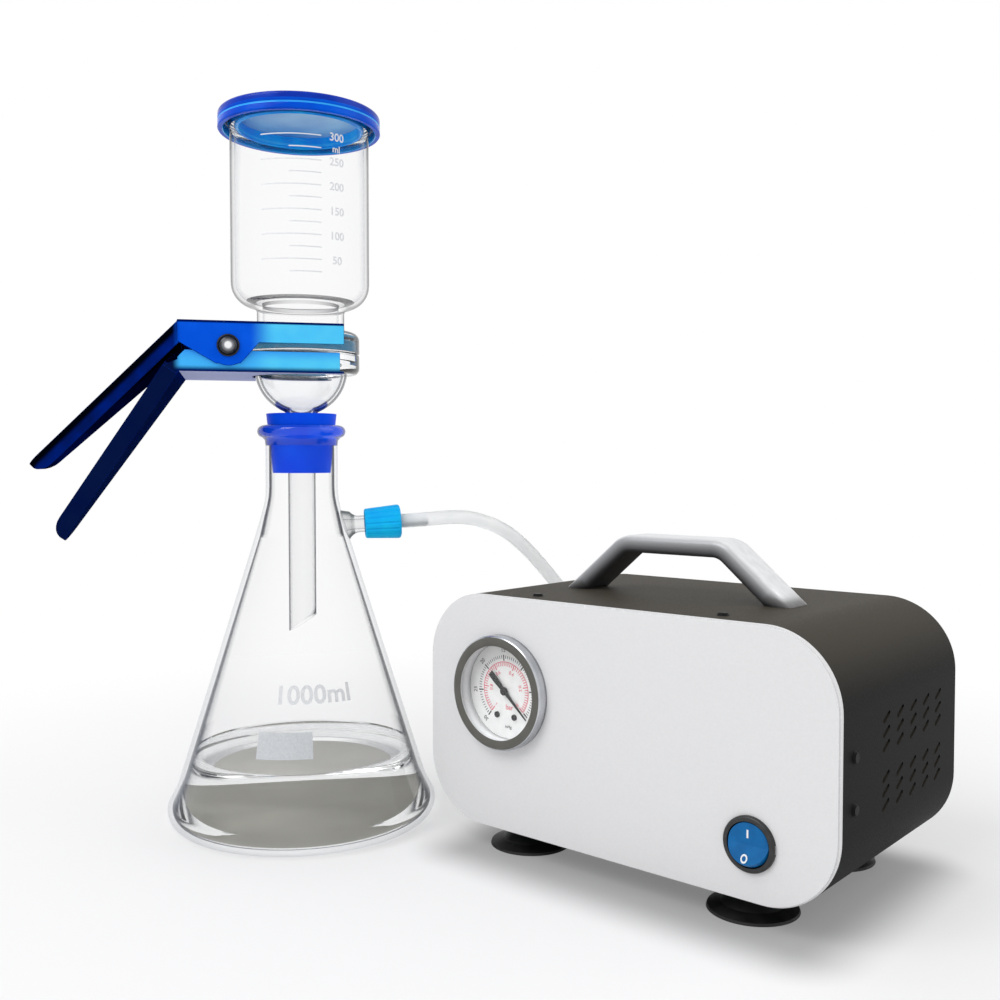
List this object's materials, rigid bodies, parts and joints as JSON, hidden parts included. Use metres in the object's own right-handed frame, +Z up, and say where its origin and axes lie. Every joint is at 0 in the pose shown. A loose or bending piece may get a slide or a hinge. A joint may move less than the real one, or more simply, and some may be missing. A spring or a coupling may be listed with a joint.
{
  "type": "vacuum filtration unit",
  "caption": "Clamped glass filter funnel on a filtering flask, joined by a hose to a boxed diaphragm vacuum pump with gauge, rocker switch and carrying handle.",
  "frame": {"origin": "on the bench, on the flask's axis", "axes": "+Z up, the pump's front faces -Y, +X runs from the flask along the pump's front"},
  "size_m": [0.3789, 0.2932, 0.3756],
  "materials": {
    "glass": "clear",
    "water": "clear",
    "blue_rubber": "satin",
    "sintered_glass": "matte",
    "membrane": "matte",
    "blue_plastic": "gloss",
    "blue_metal": "satin",
    "steel": "satin",
    "cap_plastic": "matte",
    "silicone": "matte",
    "white_plastic": "matte",
    "clear_hose": "gloss",
    "case_paint": "matte",
    "panel_paint": "satin",
    "black_steel": "satin",
    "handle_metal": "satin",
    "black_rubber": "matte",
    "gauge_paint": "satin",
    "gauge_rim": "satin",
    "clear_glass": "clear",
    "dial_white": "matte",
    "pointer_black": "matte",
    "brass": "satin",
    "black_plastic": "satin",
    "rocker_blue": "satin",
    "motor_steel": "satin",
    "aluminium": "cast"
  },
  "bodies": {
    "root": {"flask": "glass", "filtrate": "water", "stopper": "blue_rubber", "filter_base": "glass", "frit_disc": "sintered_glass", "filter_membrane": "membrane", "funnel_cup": "glass", "cup_lid": "blue_plastic", "clamp_lower_lever": "blue_metal", "clamp_pin": "steel", "clamp_spring": "steel", "barb_seal": "silicone", "hose_barb": "white_plastic", "hose": "clear_hose", "case_shell": "case_paint", "front_panel": "panel_paint", "rear_panel": "case_paint", "case_screws": "black_steel", "rear_screws": "black_steel", "handle": "handle_metal", "handle_screws": "steel", "foot_front_left": "black_rubber", "foot_front_right": "black_rubber", "foot_rear_left": "black_rubber", "foot_rear_right": "black_rubber", "foot_studs": "steel", "foot_nuts": "steel", "gauge_case": "gauge_paint", "gauge_bezel": "gauge_rim", "gauge_lens": "clear_glass", "gauge_dial": "dial_white", "dial_screws": "black_steel", "gauge_movement": "brass", "gauge_bracket": "steel", "switch_housing": "black_plastic", "switch_terminals": "brass", "power_inlet": "black_plastic", "inlet_pins": "brass", "vacuum_port": "brass", "exhaust_silencer": "brass", "motor_body": "motor_steel", "diaphragm": "black_rubber", "crank_housing": "aluminium", "valve_plate": "aluminium", "pump_head": "aluminium", "head_screws": "black_steel", "motor_cradle": "steel", "rubber_mounts": "black_rubber", "suction_tube": "clear_hose", "exhaust_tube": "clear_hose"},
    "clamp_upper": {"clamp_upper_lever": "blue_metal"},
    "side_cap": {"side_arm_cap": "cap_plastic"},
    "pointer": {"gauge_pointer": "pointer_black"},
    "rocker": {"switch_rocker": "rocker_blue"},
    "rotor": {"motor_rotor": "motor_steel", "motor_shaft": "steel", "eccentric": "steel"},
    "rod": {"crank_bearing": "steel", "connecting_rod": "aluminium", "clamp_disc": "aluminium"}
  },
  "joints": [
    {"name": "clamp_squeeze", "type": "hinge", "parent": "root", "child": "clamp_upper", "pos_m": [-0.02198, -0.03026, 0.25], "axis": [0.809, -0.5878, 0], "range_deg": [0, 10], "stiffness_Nm_per_rad": 0.6, "springref_deg": -22.92, "deforming": ["clamp_spring"]},
    {"name": "cap_turn", "type": "hinge", "parent": "root", "child": "side_cap", "pos_m": [0.02701, 0.03336, 0.15893], "axis": [0.6281, 0.7757, 0.061], "range_deg": [0, 360]},
    {"name": "pointer_swing", "type": "hinge", "parent": "root", "child": "pointer", "pos_m": [0.12, 0.026, 0.08], "axis": [0, -1, 0], "range_deg": [0, 264]},
    {"name": "rocker_press", "type": "hinge", "parent": "root", "child": "rocker", "pos_m": [0.254, 0.027, 0.036], "axis": [1, 0, 0], "range_deg": [0, 24]},
    {"name": "motor_spin", "type": "hinge", "parent": "root", "child": "rotor", "pos_m": [0.155, 0.098, 0.05], "axis": [1, 0, 0], "continuous": true},
    {"name": "rod_turn", "type": "hinge", "parent": "rotor", "child": "rod", "pos_m": [0.155, 0.098, 0.053], "axis": [1, 0, 0], "continuous": true, "deforming": ["diaphragm"]}
  ],
  "couplings": [
    {"joint": "rod_turn", "follows": "motor_spin", "ratio": -1}
  ]
}
